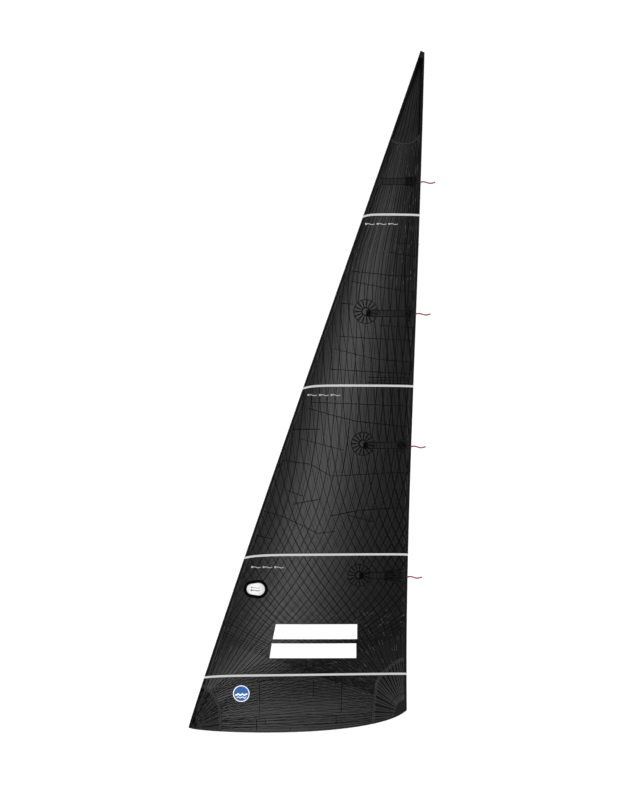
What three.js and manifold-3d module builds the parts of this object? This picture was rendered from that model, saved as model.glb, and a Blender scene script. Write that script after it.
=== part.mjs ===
// A battened racing jib of moulded carbon laminate, spread out face up on a floor.
// Millimetres. X runs aft from luff to leech, Y runs from foot to head, Z is up, and z = 0 is the floor.
// Every plan position below is measured from the tack, the sail's lower front corner.

import * as THREE from 'three';
import { mergeVertices } from 'three/addons/utils/BufferGeometryUtils.js';
import Module from 'manifold-3d';

const wasm = await Module();
wasm.setup();

// ---------- Driving dimensions ----------

const headY = 13530;             // height of the head's front corner above the tack
const headX = 4640;              // how far aft of the tack that corner lies
const headLeech = [4718, 13494]; // the head's rear corner, at the top of the leech
const clew = [4364, 340];        // lower rear corner
const luffRoundSize = 198;       // scale of the outward round of the luff, 46 mm at its fullest
const leechHollowSize = 504;     // scale of the inward hollow of the leech, 60 mm at its deepest
const footControls = [[-15, -117], [3686, -275]]; // the foot is one cubic from tack to clew

const clothThickness = 2;
const trimThickness = 1;         // tapes, patches, stripes and all else that is stuck on
const gap = 0.3;                 // clearance between pieces that lie face to face

const camberRatio = 0.026;       // depth of the moulded camber over the chord
const camberSkew = 2.925;        // puts the deepest point at 45% of the chord
const camberPeak = 0.6126;       // value of the skewed hump at that point
const flatEdge = 90;             // strip along luff and leech that lies flat on the floor
const flatFoot = 120;            // flat strip above the straight line from tack to clew
const flatHead = 150;            // chord, beyond the two flat strips, below which the head is flat
const footRise = 1500;           // height over which the camber grows from the flat foot

const luffTapeWidth = 65;
const leechTapeWidth = 50;
const tapeShare = 0.25;          // most of the chord that one tape takes, near the head

const columns = 12;              // facets across the crowned part of the chord
const rows = 36;                 // facets from the flat foot to the head

// Levels above the crowned surface, from the floor under the tapes up.
const clothBottom = trimThickness + gap;
const clothTop = clothBottom + clothThickness;
const trimBottom = clothTop + gap;
const trimTop = trimBottom + trimThickness;
const overBottom = trimTop + gap;
const overTop = overBottom + trimThickness;

// ---------- Colours ----------

const finishes = {
  laminate: { color: 0x2b2b2c, roughness: 0.45, metalness: 0 },
  tape: { color: 0x161617, roughness: 0.6, metalness: 0 },
  patch: { color: 0x222224, roughness: 0.5, metalness: 0 },
  white: { color: 0xf4f4f2, roughness: 0.55, metalness: 0 },
  film: { color: 0xe8eef0, roughness: 0.1, metalness: 0, transparent: true, opacity: 0.35 },
  red: { color: 0xb9554b, roughness: 0.7, metalness: 0 },
  green: { color: 0x6f8f74, roughness: 0.7, metalness: 0 },
  blue: { color: 0x0554a0, roughness: 0.5, metalness: 0 },
};

// ---------- Plan of the sail ----------

const clamp01 = (value) => Math.min(1, Math.max(0, value));

/** Luff: the straight line from tack to head, moved forward by a round that is fullest low down. */
function luffX(y) {
  const t = clamp01(y / headY);
  return headX * t - luffRoundSize * t ** 0.7 * (1 - t) ** 1.7;
}

/** Leech: the straight line from clew to head, moved forward by a hollow deepest at a quarter height. */
function leechX(y) {
  const t = clamp01((y - clew[1]) / (headLeech[1] - clew[1]));
  return clew[0] + (headLeech[0] - clew[0]) * t - leechHollowSize * t * (1 - t) ** 2.6;
}

const footCurve = new THREE.CubicBezierCurve(
  new THREE.Vector2(0, 0),
  new THREE.Vector2(...footControls[0]),
  new THREE.Vector2(...footControls[1]),
  new THREE.Vector2(...clew),
);

/** Top of the flat foot strip: the line from tack to clew, raised. */
const flatFootY = (x) => clew[1] * x / clew[0] + flatFoot;

/** Height of the moulded camber: a skewed hump across the chord, flat along every edge. */
function crown(x, y) {
  const span = leechX(y) - luffX(y) - 2 * flatEdge;
  const rise = clamp01((y - flatFootY(x)) / footRise);
  if (span <= flatHead || rise === 0) return 0;
  const s = clamp01((x - luffX(y) - flatEdge) / span);
  const hump = s * (1 - s) * (camberSkew - s) / camberPeak;
  return camberRatio * (span - flatHead) * hump * rise * rise * (3 - 2 * rise);
}

/**
 * The grid of plan points that every layer of the sail shares. Row 0 is the foot and the others run
 * straight from luff to leech. The first and last columns lie `inset` inside the edges.
 */
function planGrid(inset) {
  const grid = [];
  const footRow = [];
  const footStart = 0.1;   // places on the foot curve above which the flat edge strips begin
  const footEnd = 0.965;
  for (let column = 0; column <= columns; column += 1) {
    const t = footStart + (footEnd - footStart) * column / columns;
    footRow.push(footCurve.getPoint(t));
  }
  const tackEnd = footCurve.getPoint(0);
  const clewEnd = footCurve.getPoint(1);
  const moved = (from, to, distance) => from.clone().lerp(to, distance / from.distanceTo(to));
  grid.push([moved(tackEnd, footRow[0], inset), ...footRow, moved(clewEnd, footRow[columns], inset)]);

  for (let row = 0; row <= rows; row += 1) {
    const share = row / rows;
    const luffY = flatFoot + (headY - flatFoot) * share;
    const leechY = clew[1] + flatFoot + (headLeech[1] - clew[1] - flatFoot) * share;
    const front = new THREE.Vector2(luffX(luffY), luffY);
    const back = new THREE.Vector2(leechX(leechY), leechY);
    const chord = front.distanceTo(back);
    const strip = Math.min(flatEdge, 0.3 * chord);
    const line = [front.clone().lerp(back, inset / chord)];
    for (let column = 0; column <= columns; column += 1) {
      const along = strip + (chord - 2 * strip) * column / columns;
      line.push(front.clone().lerp(back, along / chord));
    }
    line.push(back.clone().lerp(front, inset / chord));
    grid.push(line);
  }
  return grid;
}

// ---------- Solids ----------

/** A geometry from flat arrays, turned right side out if its faces point inwards. */
function closedGeometry(positions, indices) {
  let volume = 0;
  const corner = (index) => new THREE.Vector3().fromArray(positions, 3 * index);
  for (let i = 0; i < indices.length; i += 3) {
    const [a, b, c] = [corner(indices[i]), corner(indices[i + 1]), corner(indices[i + 2])];
    volume += a.dot(b.cross(c));
  }
  if (volume < 0) indices.reverse();
  const geometry = new THREE.BufferGeometry();
  geometry.setAttribute('position', new THREE.Float32BufferAttribute(positions, 3));
  geometry.setIndex(indices);
  return geometry;
}

/** A closed solid from a list of like sections, each a loop of points, with a cap at both ends. */
function sweptGeometry(sections, capTriangles) {
  const size = sections[0].length;
  const positions = sections.flat().flatMap((point) => [point.x, point.y, point.z]);
  const indices = [];
  for (let i = 0; i + 1 < sections.length; i += 1) {
    for (let k = 0; k < size; k += 1) {
      const a = i * size + k;
      const b = i * size + (k + 1) % size;
      indices.push(a, b, b + size, a, b + size, a + size);
    }
  }
  const last = (sections.length - 1) * size;
  for (const [a, b, c] of capTriangles) {
    indices.push(c, b, a, last + a, last + b, last + c);
  }
  return closedGeometry(positions, indices);
}

function toManifold(geometry) {
  const bare = geometry.clone();
  bare.deleteAttribute('normal');
  bare.deleteAttribute('uv');
  const merged = mergeVertices(bare, 1e-4);
  return new wasm.Manifold(new wasm.Mesh({
    numProp: 3,
    vertProperties: new Float32Array(merged.attributes.position.array),
    triVerts: new Uint32Array(merged.index.array),
  }));
}

function toGeometry(manifold) {
  const mesh = manifold.getMesh();
  const geometry = new THREE.BufferGeometry();
  geometry.setAttribute('position', new THREE.BufferAttribute(mesh.vertProperties, 3));
  geometry.setIndex(new THREE.BufferAttribute(mesh.triVerts, 1));
  return geometry;
}

/** A slab that follows the crowned surface between two levels above it. */
function slab(low, high, inset = 0) {
  const grid = planGrid(inset);
  const width = grid[0].length;
  const half = grid.length * width;
  const positions = [];
  for (const level of [low, high]) {
    for (const point of grid.flat()) positions.push(point.x, point.y, crown(point.x, point.y) + level);
  }
  const indices = [];
  for (let row = 0; row + 1 < grid.length; row += 1) {
    for (let column = 0; column + 1 < width; column += 1) {
      const a = row * width + column;
      const b = a + 1;
      const c = b + width;
      const d = a + width;
      indices.push(a, c, b, a, d, c);
      indices.push(a + half, b + half, c + half, a + half, c + half, d + half);
    }
  }
  const rim = [];
  for (let column = 0; column + 1 < width; column += 1) rim.push(column);
  for (let row = 0; row + 1 < grid.length; row += 1) rim.push(row * width + width - 1);
  for (let column = width - 1; column > 0; column -= 1) rim.push((grid.length - 1) * width + column);
  for (let row = grid.length - 1; row > 0; row -= 1) rim.push(row * width);
  rim.forEach((a, i) => {
    const b = rim[(i + 1) % rim.length];
    indices.push(a, b, b + half, a, b + half, a + half);
  });
  return toManifold(closedGeometry(positions, indices));
}

/** A tall upright prism over a plan outline. */
function prism(outline) {
  const depth = 400;
  const geometry = new THREE.ExtrudeGeometry(new THREE.Shape(outline), { depth, bevelEnabled: false });
  return toManifold(geometry.translate(0, 0, -depth / 2));
}

/** The outline with each side moved outwards by the distance, so that a cut made with it leaves a gap. */
function widened(outline, distance) {
  const turn = THREE.ShapeUtils.isClockWise(outline) ? -1 : 1;
  return outline.map((corner, i) => {
    const before = outline[(i + outline.length - 1) % outline.length];
    const after = outline[(i + 1) % outline.length];
    const arriving = corner.clone().sub(before).normalize();
    const leaving = after.clone().sub(corner).normalize();
    const along = arriving.clone().add(leaving).normalize();
    const reach = turn * distance / along.dot(leaving);
    return new THREE.Vector2(corner.x + along.y * reach, corner.y - along.x * reach);
  });
}

const trimLayer = slab(trimBottom, trimTop);
const overLayer = slab(overBottom, overTop);
const stripeLayer = slab(trimBottom, overTop);
const belowOver = slab(clothTop, overBottom);

/**
 * A solid along the luff or the leech, with a section at each of the sail's rows. `profile` gives the
 * loop of [distance inboard, height] pairs for the tape width at that row. `overrun` lengthens both ends.
 */
function alongEdge(edge, fullWidth, profile, overrun = 0) {
  const sections = planGrid(0).map((line) => {
    const [start, next, end] = edge === 'luff'
      ? [line[0], line[1], line[line.length - 1]]
      : [line[line.length - 1], line[line.length - 2], line[0]];
    const width = Math.min(fullWidth, tapeShare * start.distanceTo(end));
    const inboard = next.clone().sub(start).normalize();
    const at = (t) => start.clone().addScaledVector(inboard, t);
    return profile(width).map(([t, z]) => new THREE.Vector3(at(t).x, at(t).y, z));
  });
  const last = sections.length - 1;
  for (const [end, inner] of [[0, 1], [last, last - 1]]) {
    const shift = sections[end][0].clone().sub(sections[inner][0]).setLength(overrun);
    sections[end] = sections[end].map((corner) => corner.clone().add(shift));
  }
  const flat = profile(fullWidth).map(([t, z]) => new THREE.Vector2(t, z));
  return sweptGeometry(sections, THREE.ShapeUtils.triangulateShape(flat, []));
}

/** A tape folded over the edge: a channel with one flange under the cloth and one on top. */
const foldedTape = (edge, width) => alongEdge(edge, width, (w) => [
  [0, 0],
  [w, 0],
  [w, trimThickness],
  [trimThickness, trimThickness],
  [trimThickness, trimBottom],
  [w, trimBottom],
  [w, trimTop],
  [0, trimTop],
]);

/** The room that a tape takes up, which the pieces beside it and over it are cut away from. */
const tapeRoom = (edge, width) => toManifold(alongEdge(edge, width, (w) => [
  [-5, -1],
  [w + gap, -1],
  [w + gap, overBottom],
  [-5, overBottom],
], 5));

const tapes = tapeRoom('luff', luffTapeWidth).add(tapeRoom('leech', leechTapeWidth));

/** A flat piece stuck on the cloth between the tapes, less what lies beside it. */
function applied(outline, beside = []) {
  let piece = prism(outline).intersect(trimLayer).subtract(tapes);
  for (const other of beside) piece = piece.subtract(prism(widened(other, gap)));
  return piece;
}

// ---------- Outlines ----------

const point = (x, y) => new THREE.Vector2(x, y);

function circle(x, y, radius, segments) {
  return Array.from({ length: segments }, (_, i) => {
    const angle = 2 * Math.PI * i / segments;
    return point(x + radius * Math.cos(angle), y + radius * Math.sin(angle));
  });
}

const rectangle = (left, bottom, right, top) => [
  point(left, bottom),
  point(right, bottom),
  point(right, top),
  point(left, top),
];

/** An egg laid on its side: a small round end forward, a larger one aft, joined by straight flanks. */
function egg(x, y, smallRadius, largeRadius, spacing, segments) {
  const lean = Math.asin((largeRadius - smallRadius) / spacing);
  const arc = (cx, radius, from, to) => Array.from({ length: segments + 1 }, (_, i) => {
    const angle = from + (to - from) * i / segments;
    return point(cx + radius * Math.cos(angle), y + radius * Math.sin(angle));
  });
  const quarter = Math.PI / 2;
  return [
    ...arc(x + spacing * 0.42, largeRadius, -quarter - lean, quarter + lean),
    ...arc(x - spacing * 0.58, smallRadius, quarter + lean, 3 * quarter - lean),
  ];
}

/** Sideways set of a loose tail, from 0 at its root to 1 at its tip: a small crest, then a deeper dip. */
const flutter = (s, size) => size * (Math.sin(2 * Math.PI * s) - (1 - Math.cos(2 * Math.PI * s)) / 2);

// ---------- The pieces ----------

const sail = new THREE.Group();

function addPiece(name, geometry, finish) {
  const flat = geometry.toNonIndexed();
  flat.computeVertexNormals();
  const mesh = new THREE.Mesh(flat, new THREE.MeshStandardMaterial(finishes[finish]));
  mesh.name = name;
  sail.add(mesh);
}

const addManifold = (name, manifold, finish) => addPiece(name, toGeometry(manifold), finish);

// Corner patches: extra plies over the three corners, where the loads run together.

const headPatchOutline = [
  point(3900, 11750),
  point(4010, 11715),
  point(4140, 11668),
  point(4340, 11645),
  point(4500, 11690),
  point(4600, 11775),
  point(4720, 11900),
  point(4800, 13600),
  point(4500, 13600),
];
const tackPatchOutline = [
  point(-60, -200),
  point(662, -200),
  point(666, 0),
  point(650, 290),
  point(612, 470),
  point(500, 672),
  point(400, 755),
  point(240, 845),
  point(150, 860),
];
const clewPatchOutline = [
  point(3642, 0),
  point(3662, 278),
  point(3712, 744),
  point(3762, 978),
  point(3962, 1210),
  point(4162, 1360),
  point(4344, 1410),
  point(4450, 1420),
  point(4450, 0),
];
const clewPadRadius = 345;
const clewPadOutline = circle(clew[0], clew[1], clewPadRadius, 24);

addManifold('head_patch', applied(headPatchOutline), 'patch');
addManifold('tack_patch', applied(tackPatchOutline), 'patch');
addManifold('clew_patch', applied(clewPatchOutline), 'patch');
addManifold('clew_pad', prism(clewPadOutline).intersect(overLayer).subtract(tapes), 'patch');

// Battens: a pocket band across the sail, a load-spreading roundel at its front end and a patch at the leech.

const pocketHalf = 71;
const battens = [
  { name: '1', y: 3038, wheel: [3404, 3042], wheelRadius: 230, endLength: 490, endHalf: 145 },
  { name: '2', y: 5635, wheel: [3484, 5670], wheelRadius: 240, endLength: 290, endHalf: 230 },
  { name: '3', y: 8275, wheel: [3542, 8312], wheelRadius: 248, endLength: 230, endHalf: 270 },
  { name: '4', y: 10915, wheel: null, wheelRadius: 0, endLength: 330, endHalf: 112 },
];
for (const { name, y, wheel, wheelRadius, endLength, endHalf } of battens) {
  const leech = leechX(y);
  const inner = leech - endLength;
  const endOutline = [
    point(inner, y - pocketHalf - 12),
    point(leech - leechTapeWidth, y - endHalf),
    point(leech + 20, y - endHalf),
    point(leech + 20, y + endHalf),
    point(leech - leechTapeWidth, y + endHalf),
    point(inner, y + pocketHalf + 12),
  ];
  const pocketFront = wheel ? wheel[0] : luffX(y) - 60;
  const pocketOutline = rectangle(pocketFront, y - pocketHalf, inner - gap, y + pocketHalf);
  addManifold(`batten_pocket_${name}`, applied(pocketOutline), 'patch');
  addManifold(`batten_end_${name}`, applied(endOutline), 'patch');
  if (wheel) {
    const roundel = circle(wheel[0], wheel[1], wheelRadius, 26);
    addManifold(`batten_roundel_${name}`, applied(roundel, [pocketOutline]), 'patch');
  }
}

// Draft stripes: white tapes from edge to edge that show the camber. They lie over tapes and patches.

const stripeWidth = 42;
const stripeOverrun = 12;        // drawn past the sail's edges, where the cloth's outline trims it
const stripes = [
  { name: 'foot', luffY: 994, leechY: 1068, bow: 34 },
  { name: 'low', luffY: 3384, leechY: 3450, bow: 60 },
  { name: 'middle', luffY: 6774, leechY: 6814, bow: 58 },
  { name: 'high', luffY: 10204, leechY: 10236, bow: 48 },
];
for (const { name, luffY, leechY, bow } of stripes) {
  const start = luffX(luffY);
  const end = leechX(leechY);
  const steps = 12;
  const centre = Array.from({ length: steps + 1 }, (_, i) => {
    const s = (i / steps) ** 1.8;
    const lift = bow * (1 - Math.exp(-s / 0.07)) * (1 - s) ** 0.6;
    return point(start + (end - start) * s, luffY + (leechY - luffY) * s + lift);
  });
  centre[0].x -= stripeOverrun;
  centre[steps].x += stripeOverrun;
  const upper = centre.map(({ x, y }) => point(x, y + stripeWidth / 2)).reverse();
  const lower = centre.map(({ x, y }) => point(x, y - stripeWidth / 2));
  let stripe = prism([...lower, ...upper]).intersect(stripeLayer).subtract(tapes);
  if (name === 'foot') {
    const patchRoom = prism(widened(clewPatchOutline, gap)).intersect(belowOver);
    stripe = stripe.subtract(patchRoom);
  }
  addManifold(`draft_stripe_${name}`, stripe, 'white');
}

// Tell-tale window: a clear pane let into the cloth, held by a black ring, with a tell-tale on each side.

const windowCentre = [1344, 2764];
const windowSmallRadius = 105;   // forward end of the clear part
const windowLargeRadius = 126;   // after end of the clear part
const windowSpacing = 133;       // between the centres of the two ends
const ringLap = 10;              // how far the ring laps in over the pane
const ringWidth = 61;

/** The window's egg shape, grown all round. */
const windowEgg = (growth) => egg(
  ...windowCentre,
  windowSmallRadius + growth,
  windowLargeRadius + growth,
  windowSpacing,
  8,
);

const openingOutline = windowEgg(ringLap);
const paneOutline = windowEgg(ringLap - gap);
const clothLayer = slab(clothBottom, clothTop);
addManifold('window_pane', prism(paneOutline).intersect(clothLayer), 'film');
addManifold('window_frame', applied(windowEgg(ringWidth)).subtract(prism(windowEgg(0))), 'tape');

// Tell-tales: a round sticky dot and a light tail that trails aft of it.

const dotRadius = 18;
const tailLength = 172;
const tailHalf = 6;
const tailFlutter = 8;

/** Outline of one tell-tale, its dot centred at x, y. */
function telltaleOutline(x, y) {
  const root = Math.asin(tailHalf / dotRadius);
  const arcSteps = 8;
  const dot = Array.from({ length: arcSteps + 1 }, (_, i) => {
    const angle = root + (2 * Math.PI - 2 * root) * i / arcSteps;
    return point(x + dotRadius * Math.cos(angle), y + dotRadius * Math.sin(angle));
  });
  const tailSteps = 5;
  const side = (offset) => Array.from({ length: tailSteps }, (_, i) => {
    const s = (i + 1) / tailSteps;
    return point(x + dotRadius + (tailLength - dotRadius) * s, y + flutter(s, tailFlutter) + offset);
  });
  return [...dot, ...side(-tailHalf), ...side(tailHalf).reverse()];
}

const telltaleSpacing = 232;
const telltaleRows = [
  { name: '1', x: 1268, y: 3204 },
  { name: '2', x: 2394, y: 6644 },
  { name: '3', x: 3548, y: 10064 },
];
for (const { name, x, y } of telltaleRows) {
  for (let i = 0; i < 3; i += 1) {
    addManifold(`telltale_${name}_${i + 1}`, applied(telltaleOutline(x + telltaleSpacing * i, y)), 'white');
  }
}
addManifold('window_telltale_near', applied(telltaleOutline(1258, 2742)), 'red');
const farLayer = slab(clothBottom - gap - trimThickness, clothBottom - gap);
addManifold('window_telltale_far', prism(telltaleOutline(1262, 2796)).intersect(farLayer), 'green');

// Name panels and badge: plain white panels and a round emblem, stuck on the lower part.

const panels = [
  { name: 'upper', corners: [[1686, 1770], [3370, 1770], [3370, 2066], [1746, 2066]] },
  { name: 'lower', corners: [[1622, 1390], [3352, 1390], [3352, 1683], [1666, 1683]] },
];
for (const { name, corners } of panels) {
  addManifold(`name_panel_${name}`, applied(corners.map(([x, y]) => point(x, y))), 'white');
}
const badgeRadius = 166;
addManifold('round_badge', applied(circle(1054, 674, badgeRadius, 24)), 'blue');

// The cloth itself, one sheet with the window cut out, and the tapes folded over luff and leech.

const clothInset = trimThickness + gap + 0.1;
const cloth = slab(clothBottom, clothTop, clothInset).subtract(prism(openingOutline));
addManifold('sail_cloth', cloth, 'laminate');
addPiece('luff_tape', foldedTape('luff', luffTapeWidth), 'tape');
addPiece('leech_tape', foldedTape('leech', leechTapeWidth), 'tape');

// Leech ribbons: light strips that stream from the leech at each batten, here lying on the floor.

const ribbonLength = 290;
const ribbonWidth = 26;
const ribbonFlutter = 14;
const ribbonRoot = 22;           // how far its root lies in over the leech tape
const ribbonDrop = 60;           // how far out of the edge it takes to come down to the floor
const ribbons = [
  { name: '1', y: 3004 },
  { name: '2', y: 5612 },
  { name: '3', y: 8266 },
  { name: '4', y: 10900 },
];
const ribbonClear = 4;           // how far out of the edge it starts to come down
const ribbonHeight = (out) => overBottom * (1 - THREE.MathUtils.smoothstep(out, ribbonClear, ribbonDrop));
const ribbonStops = [-ribbonRoot, ribbonClear, 18, 32, 46, ribbonDrop];
for (let i = 1; i <= 7; i += 1) ribbonStops.push(ribbonDrop + (ribbonLength - ribbonDrop) * i / 7);
for (const { name, y } of ribbons) {
  const leech = leechX(y);
  const sections = ribbonStops.map((out) => {
    const s = clamp01(out / ribbonLength);
    const side = flutter(s, ribbonFlutter);
    const ahead = flutter(s + 0.01, ribbonFlutter);
    const behind = flutter(s - 0.01, ribbonFlutter);
    const across = point(behind - ahead, 0.02 * ribbonLength).setLength(ribbonWidth / 2);
    const low = ribbonHeight(out);
    const middle = point(leech + out, y + side);
    const corner = (sign, z) => new THREE.Vector3(middle.x + sign * across.x, middle.y + sign * across.y, z);
    return [
      corner(-1, low),
      corner(1, low),
      corner(1, low + trimThickness),
      corner(-1, low + trimThickness),
    ];
  });
  addPiece(`leech_ribbon_${name}`, sweptGeometry(sections, [[0, 1, 2], [0, 2, 3]]), 'red');
}

// The origin is the middle of the footprint, on the floor.

const box = new THREE.Box3().setFromObject(sail);
const middle = box.getCenter(new THREE.Vector3());
sail.position.set(-middle.x, -middle.y, -box.min.z);

export default sail;
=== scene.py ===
"""A battened racing jib of moulded carbon laminate, spread face up on a floor.

Metres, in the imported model's frame: +X aft from luff to leech, +Y from foot to head, +Z up.
Plan positions are measured from the tack, the sail's lower front corner.
"""
import math

import bmesh
import bpy
import numpy as np
from mathutils import Matrix, Quaternion, Vector


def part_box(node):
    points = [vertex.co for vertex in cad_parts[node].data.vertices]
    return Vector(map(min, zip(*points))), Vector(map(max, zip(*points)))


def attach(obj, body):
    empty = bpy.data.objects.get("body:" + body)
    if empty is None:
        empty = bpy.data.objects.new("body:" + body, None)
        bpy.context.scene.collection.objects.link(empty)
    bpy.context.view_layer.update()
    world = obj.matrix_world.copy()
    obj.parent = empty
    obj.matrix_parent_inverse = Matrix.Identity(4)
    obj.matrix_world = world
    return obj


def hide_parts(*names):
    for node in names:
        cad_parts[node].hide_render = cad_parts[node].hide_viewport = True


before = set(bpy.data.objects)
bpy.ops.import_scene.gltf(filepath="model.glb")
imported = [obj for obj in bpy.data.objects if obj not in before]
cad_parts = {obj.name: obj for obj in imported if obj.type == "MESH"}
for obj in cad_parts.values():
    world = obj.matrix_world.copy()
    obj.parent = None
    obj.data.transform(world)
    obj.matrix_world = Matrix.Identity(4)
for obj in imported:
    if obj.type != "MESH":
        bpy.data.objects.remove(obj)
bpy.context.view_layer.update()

scene = bpy.context.scene

# ------------------------------------------------------------------ camera, floor and light
# The sail lies on a plain white studio floor. The camera looks straight down on it from high up
# through a long lens, and a soft strip of light beside the camera shines along the film.

CAMERA_LENS = 100.0
CAMERA_SENSOR = 36.0
CAMERA_AIM = (0.160, -0.167)
VIEW_HEIGHT = 16.0             # metres of floor between the view's lower and upper edges
FLOOR_HALF = 40.0
FLOOR_LEVEL = -0.0005          # a hair under the sail, so that the two never share a plane
STRIP_PLACE = (-3.9, -6.8)
STRIP_HEIGHT = 50.0
STRIP_SIZE = (8.6, 35.0)
STRIP_TURN = math.radians(-15.6)  # leans the strip as the sail leans
SIDE_DISTANCE = 34.0
SIDE_HEIGHT = 26.0

camera_data = bpy.data.cameras.new("camera")
camera_data.lens = CAMERA_LENS
camera_data.sensor_width = CAMERA_SENSOR
camera_data.clip_end = 200.0
camera = bpy.data.objects.new("camera", camera_data)
camera.location = (*CAMERA_AIM, VIEW_HEIGHT * CAMERA_LENS / CAMERA_SENSOR)
scene.collection.objects.link(camera)
scene.camera = camera
scene.view_settings.view_transform = "Standard"
scene.view_settings.look = "None"


def principled(name, color, roughness, specular):
    """A new material with one Principled BSDF, and that shader."""
    material = bpy.data.materials.new(name)
    material.use_nodes = True
    shader = material.node_tree.nodes["Principled BSDF"]
    shader.inputs["Base Color"].default_value = (*color, 1.0)
    shader.inputs["Roughness"].default_value = roughness
    shader.inputs["Specular IOR Level"].default_value = specular
    return material, shader


def soft_light(name, place, size, power, aim, turn=0.0):
    """A rectangular soft light at a place, facing the aim, then turned in its own plane."""
    data = bpy.data.lights.new(name, "AREA")
    data.shape = "RECTANGLE"
    data.size, data.size_y = size
    data.energy = power
    light = bpy.data.objects.new(name, data)
    facing = (Vector(place) - Vector(aim)).to_track_quat("Z", "Y")
    light.matrix_world = Matrix.LocRotScale(Vector(place), facing @ Quaternion((0, 0, 1), turn), None)
    scene.collection.objects.link(light)


soft_light("sheen_strip", (*STRIP_PLACE, STRIP_HEIGHT), STRIP_SIZE, 5500.0, (*STRIP_PLACE, 0.0), STRIP_TURN)
for name, x in (("side_luff", -SIDE_DISTANCE), ("side_leech", SIDE_DISTANCE)):
    soft_light(name, (x, 0.0, SIDE_HEIGHT), (12.0, 24.0), 14000.0, (0.0, 0.0, 0.0))

world = bpy.data.worlds.new("studio")
world.use_nodes = True
world.node_tree.nodes["Background"].inputs["Color"].default_value = (1.0, 1.0, 1.0, 1.0)
world.node_tree.nodes["Background"].inputs["Strength"].default_value = 0.15
scene.world = world

floor_material, floor_shader = principled("floor_white", (0.9, 0.9, 0.9), 0.9, 0.0)
floor_mesh = bpy.data.meshes.new("floor")
floor_signs = ((-1, -1), (1, -1), (1, 1), (-1, 1))
floor_corners = [(x * FLOOR_HALF, y * FLOOR_HALF, FLOOR_LEVEL) for x, y in floor_signs]
floor_mesh.from_pydata(floor_corners, [], [(0, 1, 2, 3)])
floor_mesh.materials.append(floor_material)
floor = bpy.data.objects.new("floor", floor_mesh)
scene.collection.objects.link(floor)

# ------------------------------------------------------------------ sail cloth
# One moulded sheet of string laminate, dark film on both sides of carbon strands, with a window
# cut in it. It is firm, so the camber built into it stands off the floor while its edges lie flat.

HEAD = (4.640, 13.530)         # the head's front corner
HEAD_LEECH = (4.718, 13.494)   # the head's rear corner
CLEW = (4.364, 0.340)
LUFF_ROUND = 0.198             # size of the luff's curve off its straight line
LEECH_HOLLOW = 0.504
FOOT_CONTROLS = ((0.0, 0.0), (-0.015, -0.117), (3.686, -0.275), CLEW)
FOOT_MARGINS = (0.1, 0.965)    # where on the foot's curve the flat margins of luff and leech end
CAMBER_RATIO = 0.026           # depth of the camber over the chord
CAMBER_SKEW = 2.925            # puts the deepest point at 45% of the chord
CAMBER_PEAK = 0.6126           # value of the skewed hump at that point
FLAT_EDGE = 0.090              # width of the flat margin along luff and leech
FLAT_FOOT = 0.120              # height of the flat margin over the foot
FLAT_HEAD = 0.150              # chord between the margins under which the head lies flat
FOOT_RISE = 1.500              # height over which the camber grows from the foot
GAP = 0.0003                   # between pieces that lie face to face
TRIM_THICKNESS = 0.0010
CLOTH_THICKNESS = 0.0020
CLOTH_LEVEL = TRIM_THICKNESS + GAP
TRIM_LEVEL = CLOTH_LEVEL + CLOTH_THICKNESS + GAP
OVER_LEVEL = TRIM_LEVEL + TRIM_THICKNESS + GAP
CLOTH_INSET = 0.0014           # how far inside the fold of the tapes the cloth ends
CLOTH_COLUMNS = 64
CLOTH_ROWS = 260
FOOT_ROWS = 5                  # rows blended between the foot's curve and the first straight row
EDGE_COLUMNS = np.array([0.5, 0.97, 1.03, 1.2, 1.5, 1.9])  # in widths of the flat margin
EDGE_SHARE = 0.35              # most of the chord that the columns of one edge take

luff_low, luff_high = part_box("luff_tape")
TACK = np.array([luff_low.x, luff_high.y - HEAD[1]])


def luff_x(y):
    """Luff: the straight line from tack to head less a round, its size times t^0.7 (1 - t)^1.7."""
    t = np.clip(y / HEAD[1], 0, 1)
    return HEAD[0] * t - LUFF_ROUND * t ** 0.7 * (1 - t) ** 1.7


def leech_x(y):
    """Leech: the straight line from clew to head less a hollow, its size times t (1 - t)^2.6."""
    t = np.clip((y - CLEW[1]) / (HEAD_LEECH[1] - CLEW[1]), 0, 1)
    return CLEW[0] + (HEAD_LEECH[0] - CLEW[0]) * t - LEECH_HOLLOW * t * (1 - t) ** 2.6


def foot_point(t):
    """Foot: the cubic Bezier curve from tack to clew at t, as points."""
    weights = np.stack([(1 - t) ** 3, 3 * t * (1 - t) ** 2, 3 * t * t * (1 - t), t ** 3], axis=-1)
    return weights @ np.array(FOOT_CONTROLS)


def smoothstep(t):
    """0 below 0, 1 above 1, and 3t^2 - 2t^3 between."""
    t = np.clip(t, 0, 1)
    return t * t * (3 - 2 * t)


def crown(x, y):
    """Camber height: ratio times chord times a hump s (1 - s) (skew - s), flat along every edge."""
    span = leech_x(y) - luff_x(y) - 2 * FLAT_EDGE
    s = np.clip((x - luff_x(y) - FLAT_EDGE) / np.maximum(span, 1e-6), 0, 1)
    hump = s * (1 - s) * (CAMBER_SKEW - s) / CAMBER_PEAK
    rise = smoothstep((y - CLEW[1] * x / CLEW[0] - FLAT_FOOT) / FOOT_RISE)
    return CAMBER_RATIO * np.maximum(span - FLAT_HEAD, 0) * hump * rise


def plan_rows(row_share):
    """Front and back ends of rows across the sail, from share 0 at the flat foot to 1 at the head."""
    luff_y = FLAT_FOOT + (HEAD[1] - FLAT_FOOT) * row_share
    leech_y = CLEW[1] + FLAT_FOOT + (HEAD_LEECH[1] - CLEW[1] - FLAT_FOOT) * row_share
    return np.stack([luff_x(luff_y), luff_y], axis=-1), np.stack([leech_x(leech_y), leech_y], axis=-1)


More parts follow.
